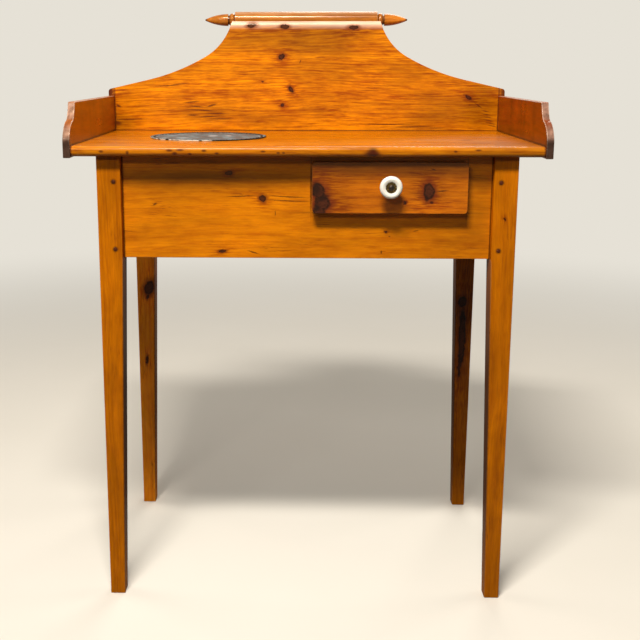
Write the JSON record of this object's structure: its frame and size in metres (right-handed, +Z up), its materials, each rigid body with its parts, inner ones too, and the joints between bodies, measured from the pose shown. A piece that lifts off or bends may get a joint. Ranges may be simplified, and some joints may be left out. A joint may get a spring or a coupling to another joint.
{
  "type": "washstand",
  "caption": "Country pine washstand with a swept backboard, side galleries, tapered square legs and a lipped drawer with a porcelain knob.",
  "frame": {"origin": "middle of the stand's outer box, on the floor", "axes": "+Z up, front towards -Y, +X to the right as seen from the front"},
  "size_m": [0.74, 0.4232, 0.9685],
  "materials": {
    "pine_top": "shellac, satin",
    "pine_backboard": "shellac, satin",
    "pine_gallery": "shellac, satin",
    "pine_turned": "shellac, satin",
    "pine_leg": "shellac, satin",
    "pine_apron": "shellac, satin",
    "pine_drawer_front": "shellac, satin",
    "pine_raw": "planed, unfinished",
    "peg_wood": "end grain under shellac",
    "zinc_sheet": "dull, weathered",
    "iron": "dark, worn",
    "porcelain": "glazed, glossy",
    "aged_brass": "darkened"
  },
  "bodies": {
    "stand": {"top_board": "pine_top", "backboard": "pine_backboard", "left_gallery": "pine_gallery", "right_gallery": "pine_gallery", "crest_rod": "pine_turned", "front_left_leg": "pine_leg", "front_right_leg": "pine_leg", "back_left_leg": "pine_leg", "back_right_leg": "pine_leg", "front_apron": "pine_apron", "back_apron": "pine_apron", "left_apron": "pine_apron", "right_apron": "pine_apron", "glue_blocks": "pine_raw", "left_runner": "pine_raw", "right_runner": "pine_raw", "left_guide": "pine_raw", "right_guide": "pine_raw", "left_kicker": "pine_raw", "right_kicker": "pine_raw", "joint_pegs": "peg_wood", "basin_hole_cover": "zinc_sheet", "cover_tacks": "iron", "gallery_nails": "iron", "backboard_nails": "iron", "crest_rod_nails": "iron"},
    "drawer": {"drawer_front": "pine_drawer_front", "drawer_left_side": "pine_raw", "drawer_right_side": "pine_raw", "drawer_back": "pine_raw", "drawer_bottom": "pine_raw", "drawer_bottom_nails": "iron", "knob": "porcelain", "knob_washer": "aged_brass", "knob_screw": "iron", "knob_nut": "iron"}
  },
  "joints": [
    {"name": "drawer_slide", "type": "slide", "parent": "stand", "child": "drawer", "axis": [0, -1, 0], "range_m": [0, 0.2]}
  ]
}
